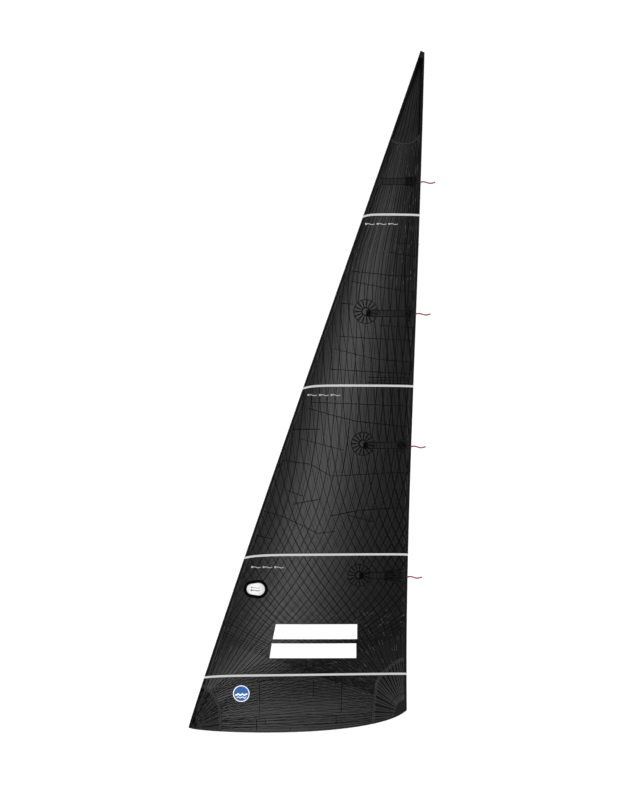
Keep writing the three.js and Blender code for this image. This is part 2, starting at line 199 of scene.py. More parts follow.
def plan_grid(columns, rows, inset):
    """The sail's plan as a grid of points: the foot curve, then straight rows from luff to leech.

    Columns near luff and leech keep their distances from the edge, so that one falls where the flat
    margin ends. The rest are even. A few rows below the first straight row are blended with the foot.
    """
    front, back = plan_rows(np.linspace(0, 1, rows + 1))
    chord = np.linalg.norm(back - front, axis=1)[:, None]
    margin = np.concatenate([[inset], EDGE_COLUMNS * FLAT_EDGE])
    margin = margin * np.minimum(1, EDGE_SHARE * chord / margin[-1]) / chord
    reach = margin[:, -1:]
    middle = reach + (1 - 2 * reach) * np.linspace(0, 1, columns + 1)[None, 1:-1]
    share = np.concatenate([margin, middle, 1 - margin[:, ::-1]], axis=1)
    straight = front[:, None] * (1 - share[..., None]) + back[:, None] * share[..., None]
    share = share[0]
    edge = FLAT_EDGE / chord[0, 0]
    foot = foot_point(np.interp(share, [0, edge, 1 - edge, 1], [0, *FOOT_MARGINS, 1]))
    blend = np.linspace(0, 1, FOOT_ROWS, endpoint=False)[:, None, None]
    lower = foot[None] * (1 - blend) + straight[:1] * blend
    return np.concatenate([lower, straight])


def new_piece(name, vertices, faces, material, tidy=True):
    """An object from vertices and a list of faces, smooth but for edges sharper than 40 degrees.

    Tidy merges points that coincide, such as a disc's middle, and turns every face outwards.
    """
    mesh = bpy.data.meshes.new(name)
    mesh.from_pydata(vertices.tolist(), [], faces)
    if tidy:
        work = bmesh.new()
        work.from_mesh(mesh)
        bmesh.ops.remove_doubles(work, verts=work.verts, dist=1e-6)
        bmesh.ops.recalc_face_normals(work, faces=work.faces)
        work.to_mesh(mesh)
        work.free()
    mesh.polygons.foreach_set("use_smooth", np.ones(len(mesh.polygons), bool))
    mesh.set_sharp_from_angle(angle=math.radians(40))
    mesh.materials.append(material)
    piece = bpy.data.objects.new(name, mesh)
    scene.collection.objects.link(piece)
    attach(piece, "root")
    return piece


def grid_faces(rows, columns, wrap=False):
    """Corner numbers of the quads of a grid; with wrap the last row is joined to the first."""
    index = np.arange(rows * columns).reshape(rows, columns)
    if wrap:
        index = np.vstack([index, index[:1]])
    quads = [index[:-1, :-1], index[:-1, 1:], index[1:, 1:], index[1:, :-1]]
    return np.stack(quads, axis=-1).reshape(-1, 4)


def sheet_piece(name, plan, level, thickness, material, wrap=False):
    """A thin closed sheet over a grid of plan points, with its underside at a level above the crown.

    Its top and its underside both follow the crown, and walls join them round the rim. With wrap
    the last row is joined to the first, so that the sheet is a disc or a ring.
    """
    rows, columns = plan.shape[:2]
    height = (crown(plan[..., 0], plan[..., 1]) + level).ravel()
    flat = plan.reshape(-1, 2) + TACK
    low = np.column_stack([flat, height])
    high = np.column_stack([flat, height + thickness])
    quads = grid_faces(rows, columns, wrap)
    half = rows * columns
    index = np.arange(half).reshape(rows, columns)
    if wrap:
        rims = [np.append(index[:, 0], index[0, 0]), np.append(index[:, -1], index[0, -1])]
    else:
        rims = [np.concatenate([index[0], index[1:, -1], index[-1, -2::-1], index[-2::-1, 0]])]
    walls = [np.stack([rim[:-1], rim[1:], rim[1:] + half, rim[:-1] + half], axis=1) for rim in rims]
    faces = np.vstack([quads, quads[:, ::-1] + half, *walls])
    return new_piece(name, np.vstack([low, high]), faces.tolist(), material)


def cut_out(piece, outline):
    """Takes away all of a piece inside a plan outline, with an upright block through it as the cutter."""
    count = len(outline)
    flat = outline + TACK
    ring = np.arange(count)
    low = np.column_stack([flat, np.full(count, -0.05)])
    high = np.column_stack([flat, np.full(count, 0.30)])
    walls = np.stack([ring, np.roll(ring, -1), np.roll(ring, -1) + count, ring + count], axis=1)
    mesh = bpy.data.meshes.new("cutter")
    faces = walls.tolist() + [ring[::-1].tolist(), (ring + count).tolist()]
    mesh.from_pydata(np.vstack([low, high]).tolist(), [], faces)
    cutter = bpy.data.objects.new("cutter", mesh)
    scene.collection.objects.link(cutter)
    difference = piece.modifiers.new("cut", "BOOLEAN")
    difference.operation = "DIFFERENCE"
    difference.solver = "EXACT"
    difference.object = cutter
    bpy.context.view_layer.update()
    evaluated = piece.evaluated_get(bpy.context.evaluated_depsgraph_get())
    cut = bpy.data.meshes.new_from_object(evaluated)
    shape = bmesh.new()
    shape.from_mesh(cut)
    bmesh.ops.triangulate(shape, faces=shape.faces)
    bmesh.ops.dissolve_degenerate(shape, dist=0.00002, edges=shape.edges)
    shape.to_mesh(cut)
    shape.free()
    piece.modifiers.clear()
    piece.data = cut
    bpy.data.objects.remove(cutter)


def new_group(name, inputs, outputs):
    """A shader node group with named inputs and outputs, and its input and output nodes."""
    group = bpy.data.node_groups.new(name, "ShaderNodeTree")
    for label, kind, value in inputs:
        group.interface.new_socket(label, in_out="INPUT", socket_type=kind).default_value = value
    for label, kind in outputs:
        group.interface.new_socket(label, in_out="OUTPUT", socket_type=kind)
    return group, group.nodes.new("NodeGroupInput"), group.nodes.new("NodeGroupOutput")


def math_node(tree, operation, first, second):
    """A maths node on two values, each a socket or a number, and its result."""
    node = tree.nodes.new("ShaderNodeMath")
    node.operation = operation
    for socket, value in zip(node.inputs, (first, second)):
        if isinstance(value, (int, float)):
            socket.default_value = value
        else:
            tree.links.new(value, socket)
    return node.outputs[0]


def noise_value(tree, coordinate, scale, detail, roughness=0.5):
    """The value of a noise texture on a coordinate, features per metre given by the scale."""
    node = tree.nodes.new("ShaderNodeTexNoise")
    tree.links.new(coordinate, node.inputs["Vector"])
    node.inputs["Detail"].default_value = detail
    node.inputs["Roughness"].default_value = roughness
    if isinstance(scale, (int, float)):
        node.inputs["Scale"].default_value = scale
    else:
        tree.links.new(scale, node.inputs["Scale"])
    return node.outputs[0]


def blended_colour(shader, factor, dark, light):
    """Colours a shader from dark to light by a factor."""
    tree = shader.id_data
    blend = tree.nodes.new("ShaderNodeMix")
    blend.data_type = "RGBA"
    blend.inputs["A"].default_value = (*dark, 1.0)
    blend.inputs["B"].default_value = (*light, 1.0)
    tree.links.new(factor, blend.inputs["Factor"])
    tree.links.new(blend.outputs["Result"], shader.inputs["Base Color"])


def raised_surface(shader, height, strength, distance):
    """Raises a shader's surface by a height, as a bump."""
    tree = shader.id_data
    raised = tree.nodes.new("ShaderNodeBump")
    raised.inputs["Strength"].default_value = strength
    raised.inputs["Distance"].default_value = distance
    tree.links.new(height, raised.inputs["Height"])
    tree.links.new(raised.outputs["Normal"], shader.inputs["Normal"])


def object_axes(tree):
    """The object's own coordinate, and its X, Y and Z as a node's outputs."""
    place = tree.nodes.new("ShaderNodeTexCoord").outputs["Object"]
    split = tree.nodes.new("ShaderNodeSeparateXYZ")
    tree.links.new(place, split.inputs[0])
    return place, split.outputs


# Film mottle: uneven resin between the films shows as soft clouds, and the fine crossed threads of the
# scrim that holds the strands press through as a small raised grid.
mottle, mottle_in, mottle_out = new_group(
    "film_mottle",
    [("Cloud Scale", "NodeSocketFloat", 3.0), ("Scrim Pitch", "NodeSocketFloat", 0.004)],
    [("Cloud", "NodeSocketFloat"), ("Scrim", "NodeSocketFloat")],
)
mottle_place, mottle_axes = object_axes(mottle)
cloud = noise_value(mottle, mottle_place, mottle_in.outputs["Cloud Scale"], 4.0, 0.6)
mottle.links.new(cloud, mottle_out.inputs["Cloud"])
turns = math_node(mottle, "DIVIDE", 2 * math.pi, mottle_in.outputs["Scrim Pitch"])
ridges = []
for axis in ("X", "Y"):
    ridge = math_node(mottle, "SINE", math_node(mottle, "MULTIPLY", mottle_axes[axis], turns), 0)
    ridges.append(math_node(mottle, "ABSOLUTE", ridge, 0))
mottle.links.new(math_node(mottle, "MINIMUM", *ridges), mottle_out.inputs["Scrim"])


def film_material(name, dark, light, roughness, specular, cloud_scale=3.0):
    """Satin laminate film: base colour from dark to light with the resin clouds, scrim as a fine bump."""
    material, shader = principled(name, light, roughness, specular)
    tree = material.node_tree
    group = tree.nodes.new("ShaderNodeGroup")
    group.node_tree = mottle
    group.inputs["Cloud Scale"].default_value = cloud_scale
    shade = tree.nodes.new("ShaderNodeMapRange")
    shade.inputs["From Min"].default_value = 0.3
    shade.inputs["From Max"].default_value = 0.7
    tree.links.new(group.outputs["Cloud"], shade.inputs["Value"])
    blended_colour(shader, shade.outputs[0], dark, light)
    raised_surface(shader, group.outputs["Scrim"], 0.15, 0.0002)
    return material


WINDOW_CENTRE = np.array([1.344, 2.764])
WINDOW_SMALL = 0.105           # radius of the clear part's forward end
WINDOW_LARGE = 0.126           # radius of its after end
WINDOW_SPACING = 0.133         # between the centres of the two ends
RING_LAP = 0.010               # how far the cut in the cloth lies outside the ring's inner border
RING_WIDTH = 0.061
WINDOW_STEPS = 32              # points round each end of the window


def egg(growth):
    """Outline of the window, grown all round: a small and a large circle joined by straight flanks.

    Going round by the direction of its outward normal, the outline is the circle that faces that way.
    """
    lean = math.asin((WINDOW_LARGE - WINDOW_SMALL) / WINDOW_SPACING)
    turn = np.pi / 2 + lean
    after = np.linspace(-turn, turn, WINDOW_STEPS)
    before = np.linspace(turn, 2 * np.pi - turn, WINDOW_STEPS)
    angle = np.concatenate([after, before])
    aft = np.arange(len(angle)) < len(after)
    radius = np.where(aft, WINDOW_LARGE, WINDOW_SMALL) + growth
    centre = np.where(aft, 0.42, -0.58) * WINDOW_SPACING
    return WINDOW_CENTRE + np.stack([centre + radius * np.cos(angle), radius * np.sin(angle)], axis=-1)


laminate = film_material("laminate", (0.0018, 0.0018, 0.0019), (0.0038, 0.0038, 0.0039), 0.26, 0.30)
cloth_grid = plan_grid(CLOTH_COLUMNS, CLOTH_ROWS, CLOTH_INSET)
cloth = sheet_piece("cloth", cloth_grid, CLOTH_LEVEL, CLOTH_THICKNESS, laminate)
cut_out(cloth, egg(RING_LAP))
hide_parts("sail_cloth")

# ------------------------------------------------------------------ strands of the laminate
# Flat carbon strands laid between the films along the loads: from tack and clew up to the head,
# from tack to clew, and a few across. They show as low dark ridges in the film.

STRAND_RISE = 0.00024          # height of a strand's crest over its feet
STRAND_SINK = 0.00003          # how deep its feet lie in the film
STRAND_LEVEL = CLOTH_LEVEL + CLOTH_THICKNESS - STRAND_SINK
rng = np.random.default_rng(11)


def strand_piece(name, paths, widths, level, material, keep=None):
    """Low three-sided ridges along paths, joined in one mesh.

    Each path is a row of plan points. At every point the ridge has a left and a right foot, half its
    width to either side, and a crest between them. Widths are one for all, a column with one for each
    path, or one for each point. `keep` says which points of each path are there.
    """
    count, points = paths.shape[:2]
    keep = np.ones((count, points), bool) if keep is None else keep
    along = np.gradient(paths, axis=1)
    along /= np.maximum(np.linalg.norm(along, axis=2, keepdims=True), 1e-9)
    half = np.broadcast_to(np.asarray(widths) / 2, (count, points))
    side = np.stack([-along[..., 1], along[..., 0]], axis=-1) * half[..., None]
    plan = np.stack([paths + side, paths, paths - side], axis=2)
    rise = np.array([0.0, STRAND_RISE, 0.0])
    height = crown(plan[..., 0], plan[..., 1]) + level + rise
    vertices = np.concatenate([plan + TACK, height[..., None]], axis=-1).reshape(-1, 3)
    index = np.arange(count * points * 3).reshape(count, points, 3)
    present = keep[:, :-1] & keep[:, 1:]
    around = np.roll(index, -1, axis=2)
    quads = np.stack([index[:, :-1], index[:, 1:], around[:, 1:], around[:, :-1]], axis=-1)[present]
    before = np.pad(present, ((0, 0), (1, 0)))[:, :-1]
    after = np.pad(present, ((0, 0), (0, 1)))[:, 1:]
    starts = index[:, :-1][present & ~before]
    ends = index[:, 1:][present & ~after][:, ::-1]
    corners = np.concatenate([quads.ravel(), starts.ravel(), ends.ravel()])
    used, corners = np.unique(corners, return_inverse=True)
    faces = corners[:quads.size].reshape(-1, 4).tolist() + corners[quads.size:].reshape(-1, 3).tolist()
    return new_piece(name, vertices[used], faces, material, tidy=False)


def wobble(count, points, size, waves):
    """Sideways wander along each of several strands: a slow sine and half a quicker one, of random phase."""
    turn = 2 * np.pi * waves * np.linspace(0, 1, points)
    phase = rng.uniform(0, 2 * np.pi, (2, count, 1))
    slow, quick = np.sin(turn + phase[0]), np.sin(2.35 * turn + phase[1])
    return size * (slow + 0.5 * quick)


def evenly(first, last, count, jitter):
    """Evenly spaced values, each moved by up to the jitter."""
    return np.linspace(first, last, count) + rng.uniform(-jitter, jitter, count)


# How the strands lean, as run over rise: nearly upright high up, ever flatter towards the foot.
LEAN_HEIGHTS = [2.2, 3.5, 4.3, 5.2, 6.2, 13.5]
LEANS = [0.84, 0.56, 0.34, 0.18, 0.09, 0.05]
FAN_HEIGHT = 2.2               # below this strands run straight to their corner
FAN_BLEND = 1.2
HEAD_FAN_HEIGHT = 9.0          # above this they keep their share of the chord
HEAD_FAN_BLEND = 1.6
TACK_CROSSINGS = (-2.4, 4.8)   # where the first and last strand from the tack cross the fan height
CLEW_CROSSINGS = (-0.3, 6.8)   # the same for those from the clew
END_CLEAR = 0.03               # how far short of the corner and the head they stop
EDGE_CLEAR = 0.012             # how far from the sail's edges all strands keep
WINDOW_CLEAR = (0.200, 0.152)  # half-axes of the ellipse round the window that they keep out of
FOOT_BAND = 1.05               # height of the strands that run along the foot
SLENDER_CHORD = 1.3            # chord under which strands narrow towards the head
CORNER_REACH = 1.7             # distance from their corner under which they narrow
LEECH_WIDENING = 0.9           # share by which they are wider at the leech than at mid chord, partly denser strands and partly painted shade


def family(spacing, jitter, from_clew, points=240):
    """Paths of one of the two crossing families, evenly spaced along every level line of the sail.

    Low down each is a straight ray from the tack or from the clew. In the middle it climbs with the
    common lean, and high up it keeps its share of the chord. The three are blended by smoothsteps.
    """
    start = np.array(CLEW if from_clew else (0.0, 0.0))
    sign = -1.0 if from_clew else 1.0
    first, last = CLEW_CROSSINGS if from_clew else TACK_CROSSINGS
    crossing = evenly(first, last, round((last - first) / spacing), jitter)[:, None]
    rise = HEAD[1] - start[1] - 2 * END_CLEAR
    y = start[1] + END_CLEAR + rise * np.linspace(0, 1, points)[None, :] ** 1.3
    ray = start[0] + (crossing - start[0]) * (y - start[1]) / (FAN_HEIGHT - start[1])
    heights = np.linspace(0, HEAD[1], 400)
    lean = np.interp(heights, LEAN_HEIGHTS, LEANS)
    drift = np.cumsum(lean) * (heights[1] - heights[0])
    drift -= np.interp(FAN_HEIGHT, heights, drift)
    climbing = crossing + sign * np.interp(y, heights, drift)
    at_fan = crossing + sign * np.interp(HEAD_FAN_HEIGHT, heights, drift)
    front, back = luff_x(HEAD_FAN_HEIGHT), leech_x(HEAD_FAN_HEIGHT)
    share = (at_fan - front) / (back - front)
    kept = luff_x(y) + share * (leech_x(y) - luff_x(y))
    x = ray + (climbing - ray) * smoothstep((y - FAN_HEIGHT + FAN_BLEND) / (2 * FAN_BLEND))
    x = x + (kept - x) * smoothstep((y - HEAD_FAN_HEIGHT + HEAD_FAN_BLEND) / (2 * HEAD_FAN_BLEND))
    x = x + wobble(len(crossing), points, 0.004, 5.0) * smoothstep((y - 0.5) / 1.5)
    return np.stack([x, np.broadcast_to(y, x.shape)], axis=-1)


def inside(paths):
    """True for the points of each path that lie on the sail, clear of its edges."""
    x, y = paths[..., 0], paths[..., 1]
    back = np.where(y > CLEW[1], leech_x(y), CLEW[0])
    foot = foot_point(np.linspace(0, 1, 200))
    above_foot = y > np.interp(x, foot[:, 0], foot[:, 1]) + EDGE_CLEAR
    return (x > luff_x(y) + EDGE_CLEAR) & (x < back - EDGE_CLEAR) & above_foot


def clear_of_window(paths):
    """True for the points of each path that lie outside an ellipse round the window's ring."""
    return np.linalg.norm((paths - WINDOW_CENTRE) / WINDOW_CLEAR, axis=-1) > 1


def dashes(paths, length, share):
    """True for random stretches of each path, of about a length, that together make up a share of it."""
    steps = np.linalg.norm(np.diff(paths, axis=1, prepend=paths[:, :1]), axis=2)
    turn = np.pi * np.cumsum(steps, axis=1) / length
    phase = rng.uniform(0, 2 * np.pi, (2, len(paths), 1))
    wave = np.sin(turn + phase[0]) + np.sin(2.3 * turn + phase[1])
    return wave > np.quantile(wave, 1 - share, axis=1, keepdims=True)


def both_families(spacing, jitter):
    """The families from tack and clew, which of their points are there, and how wide they run there.

    They stop where the foot's own strands take over, at the height of a half ellipse from tack to clew.
    They narrow near their corner and where the sail is slender, and widen towards the leech, partly as denser
    strands and partly as painted shade of the leech side.
    """
    from_tack, from_clew = family(spacing, jitter, False), family(spacing, jitter, True)
    paths = np.concatenate([from_tack, from_clew])
    reach = np.linalg.norm(np.concatenate([from_tack, from_clew - CLEW]), axis=-1)
    x, y = paths[..., 0], paths[..., 1]
    s = np.clip(x / CLEW[0], 0, 1)
    above_foot_band = y > 2 * FOOT_BAND * np.sqrt(s * (1 - s)) - 0.1
    chord = leech_x(y) - luff_x(y)
    spread = np.clip(chord / SLENDER_CHORD, 0.3, 1) * np.clip(reach / CORNER_REACH, 0.45, 1)
    # Wider towards the leech: partly denser strands, partly painted shade of the leech side.
    spread *= 1 + LEECH_WIDENING * smoothstep(2 * (x - luff_x(y)) / np.maximum(chord, 0.01) - 1)
    return paths, inside(paths) & clear_of_window(paths) & above_foot_band, spread


def random_widths(paths, narrowest, widest):
    """A random width for each path, as a column."""
    return rng.uniform(narrowest, widest, (len(paths), 1))


carbon = principled("carbon_strand", (0.0012, 0.0012, 0.0013), 0.6, 0.05)[0]
for name, spacing, jitter, narrowest, widest in (
    ("strands_bold", 0.155, 0.010, 0.010, 0.016),
    ("strands_fine", 0.090, 0.025, 0.003, 0.006),
):
    paths, keep, spread = both_families(spacing, jitter)
    widths = random_widths(paths, narrowest, widest) * spread
    strand_piece(name, paths, widths, STRAND_LEVEL, carbon, keep)

# Light threads: short stretches near the corners, where the bare scrim shows between the carbon strands.
scrim_thread = principled("scrim_thread", (0.064, 0.064, 0.066), 0.6, 0.1)[0]
paths, keep, spread = both_families(0.080, 0.030)
near_corner = (paths[..., 1] < 2.4) | (paths[..., 1] > 8.8)
keep &= dashes(paths, 0.35, 0.24) & near_corner
widths = random_widths(paths, 0.004, 0.007) * spread
strand_piece("strands_light", paths, widths, STRAND_LEVEL, scrim_thread, keep)


ARC_HEIGHT = 1.40              # height of the highest strand of the foot
TACK_SHADE_REACH = 1.9               # how far aft of the tack the foot's strands run wider and its light threads finer, as painted shade


def foot_arcs(heights, fore, aft, points=110):
    """Paths from tack to clew: the foot's line raised by a height times a hump s^fore (1 - s)^aft.

    Near its ends, where it would leave the sail, each path is drawn in to luff and leech.
    """
    t = np.linspace(0.01, 0.99, points)
    foot = foot_point(t)
    s = foot[:, 0] / CLEW[0]
    peak = fore / (fore + aft)
    hump = s ** fore * (1 - s) ** aft / (peak ** fore * (1 - peak) ** aft)
    heights = np.asarray(heights)[:, None]
    y = foot[None, :, 1] + heights * hump + wobble(len(heights), points, 0.004, 3.0)
    front, back = luff_x(y), leech_x(y)
    return np.stack([front + EDGE_CLEAR + (back - front - 2 * EDGE_CLEAR) * s, y], axis=-1)


paths = np.concatenate([
    foot_arcs(evenly(0.10, ARC_HEIGHT, 20, 0.01), 0.45, 0.75),
    foot_arcs(evenly(0.14, ARC_HEIGHT, 20, 0.01), 0.75, 0.45),
    foot_arcs(evenly(0.02, 0.30, 6, 0.01), 0.5, 0.5),
])
# Painted shade: the foot's dark strands are drawn wider towards the tack, to darken the corner there.
out_of_tack_shade = smoothstep(paths[..., 0] / TACK_SHADE_REACH)
widths = random_widths(paths, 0.005, 0.012) * (1.7 - 0.7 * out_of_tack_shade)
strand_piece("strands_foot", paths, widths, STRAND_LEVEL, carbon)

paths = np.concatenate([
    foot_arcs(evenly(0.06, ARC_HEIGHT, 24, 0.02), 0.45, 0.75),
    foot_arcs(evenly(0.06, ARC_HEIGHT, 24, 0.02), 0.75, 0.45),
])
keep = dashes(paths, 0.18, 0.45)
# Painted shade: the light threads are drawn finer towards the tack, to darken the corner there.
out_of_tack_shade = smoothstep(paths[..., 0] / TACK_SHADE_REACH)
widths = random_widths(paths, 0.004, 0.006) * (0.4 + 0.6 * out_of_tack_shade)
strand_piece("strands_foot_light", paths, widths, STRAND_LEVEL, scrim_thread, keep)

# Margin strands run along luff and leech just inside the edge tapes. They are partly real edge strands and
# partly painted shade: they darken the flat margin, which would catch the sheen.
y = np.linspace(0.10, 12.4, 200)
margins = [luff_x(y) + 0.080, luff_x(y) + 0.102, leech_x(y) - 0.066]
paths = np.stack([np.stack([x, y], axis=-1) for x in margins])
keep = np.stack([y > 0, y > 0, y > 0.50])
strand_piece("strands_margin_and_shade", paths, 0.014, STRAND_LEVEL, carbon, keep)

# Cross strands: single strands from luff to leech that keep the camber's shape, each through a few points.
# The upright ones at the end are the short seams where the foot's plies were joined on the mould.
CROSS_STRANDS = [
    [(4.15, 9.68), (4.62, 9.66)],
    [(4.00, 9.50), (4.57, 9.40)],
    [(3.27, 9.12), (4.09, 9.03), (4.57, 9.01)],
    [(3.25, 8.92), (3.95, 8.78), (4.56, 8.70)],
    [(3.03, 8.48), (3.31, 8.46)],
    [(3.81, 8.04), (4.52, 7.99)],
    [(3.03, 7.82), (3.57, 7.78), (4.53, 7.73)],
    [(2.91, 7.57), (3.41, 7.44), (3.75, 7.36), (4.50, 7.30)],
    [(2.83, 7.16), (4.48, 7.06)],
    [(3.59, 7.00), (4.48, 6.98)],
    [(3.62, 6.94), (4.48, 6.93)],
    [(3.59, 6.89), (4.48, 6.87)],
    [(2.43, 6.50), (4.47, 6.42)],
    [(2.39, 6.38), (2.95, 6.22), (3.35, 6.12), (4.09, 6.04), (4.41, 6.00)],
    [(2.03, 5.96), (2.63, 5.96)],
    [(2.21, 5.78), (2.87, 5.60), (3.11, 5.54)],
    [(1.87, 5.34), (2.45, 5.26), (2.85, 5.02), (3.87, 5.08), (4.30, 5.10)],
    [(1.97, 4.74), (2.29, 4.62)],
    [(2.07, 4.46), (2.61, 4.56)],
    [(2.85, 4.23), (3.41, 4.34), (4.39, 4.40)],
    [(1.52, 4.32), (1.90, 4.21), (2.31, 4.02), (2.57, 3.88), (2.93, 3.92)],
    [(3.20, 4.24), (3.69, 4.11)],
    [(1.34, 3.84), (1.67, 3.77)],
    [(1.42, 0.24), (1.42, 0.90)],
    [(1.36, -0.08), (1.36, 0.16)],
    [(1.54, 0.05), (1.54, 0.14)],
    [(2.49, 0.60), (2.50, 0.94)],
    [(3.05, 0.30), (3.06, 0.88)],
    [(2.95, 0.06), (2.95, 0.24)],
    [(2.03, -0.09), (2.03, 0.00)],
]


def along_knots(knots, points=50):
    """Points spread evenly by length along straight stretches from knot to knot."""
    knots = np.array(knots)
    length = np.concatenate([[0], np.cumsum(np.linalg.norm(np.diff(knots, axis=0), axis=1))])
    place = np.linspace(0, length[-1], points)
    return np.stack([np.interp(place, length, knots[:, axis]) for axis in (0, 1)], axis=-1)


paths = np.array([along_knots(knots) for knots in CROSS_STRANDS])
strand_piece("strands_cross", paths, random_widths(paths, 0.012, 0.019), STRAND_LEVEL, carbon)

# ------------------------------------------------------------------ edge tapes
# Black woven tape folded over luff and leech, half under the cloth and half on top of it, and glued.

LUFF_TAPE_WIDTH = 0.065
LEECH_TAPE_WIDTH = 0.050
TAPE_SHARE = 0.25              # most of the chord that one tape takes, near the head
TAPE_ROWS = 300
FOLD = OVER_LEVEL - GAP        # height of the folded tape over all
LUFF_COVER = 1.01 * LUFF_TAPE_WIDTH + GAP  # how far from the luff a piece beside the tape starts
LEECH_COVER = 1.01 * LEECH_TAPE_WIDTH + GAP


def tape_line(edge, width):
    """Points along luff or leech, the way inboard from each, and how far inboard the tape reaches."""
    front, back = plan_rows(np.linspace(0, 1, TAPE_ROWS))
    front = np.concatenate([[(0.0, 0.0)], front])
    back = np.concatenate([[CLEW], back])
    start, end = (front, back) if edge == "luff" else (back, front)
    inward = end - start
    foot_end = FOOT_MARGINS[0] if edge == "luff" else FOOT_MARGINS[1]
    inward[0] = foot_point(np.array([foot_end]))[0] - start[0]
    chord = np.linalg.norm(end - start, axis=1)
    inward /= np.linalg.norm(inward, axis=1, keepdims=True)
    return start, inward, np.minimum(width, TAPE_SHARE * chord)


def folded_tape(name, edge, width, material):
    """A tape folded round the edge: its section is a U on its side, with a round fold of even thickness."""
    start, inward, reach = tape_line(edge, width)
    turn = np.linspace(-np.pi / 2, np.pi / 2, 9)
    middle = FOLD / 2
    outer = [middle * (1 - np.cos(turn)), middle * (1 + np.sin(turn))]
    inner_half = middle - TRIM_THICKNESS
    inner = [middle - inner_half * np.cos(turn), middle + inner_half * np.sin(turn)]
    fold_out = np.stack([*outer, np.zeros(9)], axis=1)
    fold_in = np.stack([*inner, np.zeros(9)], axis=1)[::-1]
    top = np.array([[0, FOLD, 1.0], [0, FOLD - TRIM_THICKNESS, 1.0]])
    bottom = np.array([[0, TRIM_THICKNESS, 1.0], [0, 0, 1.0]])
    section = np.concatenate([fold_out, top, fold_in, bottom])
    distance = section[:, 0] + section[:, 2] * reach[:, None]
    plan = start[:, None] + inward[:, None] * distance[..., None] + TACK
    height = np.broadcast_to(section[:, 1], distance.shape)
    vertices = np.concatenate([plan, height[..., None]], axis=-1)
    return swept_piece(name, vertices, material)


def swept_piece(name, sections, material):
    """A closed solid from a row of like sections, each a loop of points, with a cap at both ends."""
    count, around = sections.shape[:2]
    index = np.arange(count * around).reshape(count, around)
    after = np.roll(index, -1, axis=1)
    quads = np.stack([index[:-1], index[1:], after[1:], after[:-1]], axis=-1).reshape(-1, 4)
    caps = [index[0].tolist(), index[-1, ::-1].tolist()]
    return new_piece(name, sections.reshape(-1, 3), quads.tolist() + caps, material)


# Weave: the over-and-under of warp and weft, as a height and as a shade, for all the woven pieces.
weave, weave_in, weave_out = new_group(
    "weave",
    [("Thread Pitch", "NodeSocketFloat", 0.0012)],
    [("Height", "NodeSocketFloat"), ("Shade", "NodeSocketFloat")],
)
weave_place, weave_axes = object_axes(weave)
thread_turn = math_node(weave, "DIVIDE", math.pi, weave_in.outputs["Thread Pitch"])
warp = math_node(weave, "SINE", math_node(weave, "MULTIPLY", weave_axes["X"], thread_turn), 0)
weft = math_node(weave, "SINE", math_node(weave, "MULTIPLY", weave_axes["Y"], thread_turn), 0)
crossing = math_node(weave, "MULTIPLY", warp, weft)
weave.links.new(crossing, weave_out.inputs["Height"])
weave.links.new(noise_value(weave, weave_place, 40.0, 3.0), weave_out.inputs["Shade"])


def woven_material(name, dark, light, roughness, specular, pitch=0.0012, bump=0.3):
    """Woven cloth: plain weave as a bump and a soft unevenness between two shades."""
    material, shader = principled(name, light, roughness, specular)
    tree = material.node_tree
    group = tree.nodes.new("ShaderNodeGroup")
    group.node_tree = weave
    group.inputs["Thread Pitch"].default_value = pitch
    blended_colour(shader, group.outputs["Shade"], dark, light)
    raised_surface(shader, group.outputs["Height"], bump, 0.0003)
    return material


tape_cloth = woven_material("tape_cloth", (0.0045, 0.0045, 0.0045), (0.0085, 0.0085, 0.0085), 0.7, 0.05)
for edge, width, length in (("luff", LUFF_TAPE_WIDTH, 14.35), ("leech", LEECH_TAPE_WIDTH, 13.20)):
    tape = folded_tape(f"{edge}_edge_tape", edge, width, tape_cloth)
    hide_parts(f"{edge}_tape")

# ------------------------------------------------------------------ corner patches
# Extra plies of the same laminate over the tack, the clew and the head, where the loads run together.
# Strands fan out over them from the corner, and light thread is stitched along rays and rims.

TACK_RIM = [
    (0.664, -0.09), (0.650, 0.290), (0.612, 0.470), (0.500, 0.672),
    (0.400, 0.755), (0.240, 0.845), (0.172, 0.858),
]
CLEW_RIM = [
    (3.646, 0.06), (3.662, 0.278), (3.712, 0.744), (3.762, 0.978),
    (3.962, 1.210), (4.162, 1.360), (4.298, 1.405),
]
HEAD_RIM = [
    (3.92, 11.742), (4.01, 11.715), (4.14, 11.668), (4.34, 11.645),
    (4.50, 11.690), (4.60, 11.775), (4.645, 11.83),
]
PATCH_RAYS = 64
PATCH_STEPS = 30
PAD_RADIUS = 0.345


def through(knots, count):
    """A smooth line through a few points: Catmull-Rom curves, sampled evenly from knot to knot."""
    knots = np.asarray(knots, float)
    padded = np.concatenate([2 * knots[:1] - knots[1:2], knots, 2 * knots[-1:] - knots[-2:-1]])
    place = np.linspace(0, len(knots) - 1, count)
    first = np.minimum(place.astype(int), len(knots) - 2)
    t = (place - first)[:, None]
    p0, p1, p2, p3 = (padded[first + step] for step in range(4))
    cubic = (3 * p1 - p0 - 3 * p2 + p3) * t ** 3
    return 0.5 * (2 * p1 + (p2 - p0) * t + (2 * p0 - 5 * p1 + 4 * p2 - p3) * t ** 2 + cubic)


def tape_inner(edge, low, high, count=PATCH_STEPS):
    """Points a hair inside the inner border of a tape, from height low to height high."""
    y = np.linspace(low, high, count)
    front, back = luff_x(y), leech_x(y)
    most = TAPE_SHARE * (back - front) + GAP
    if edge == "luff":
        return np.stack([front + np.minimum(LUFF_COVER, most), y], axis=-1)
    return np.stack([back - np.minimum(LEECH_COVER, most), y], axis=-1)


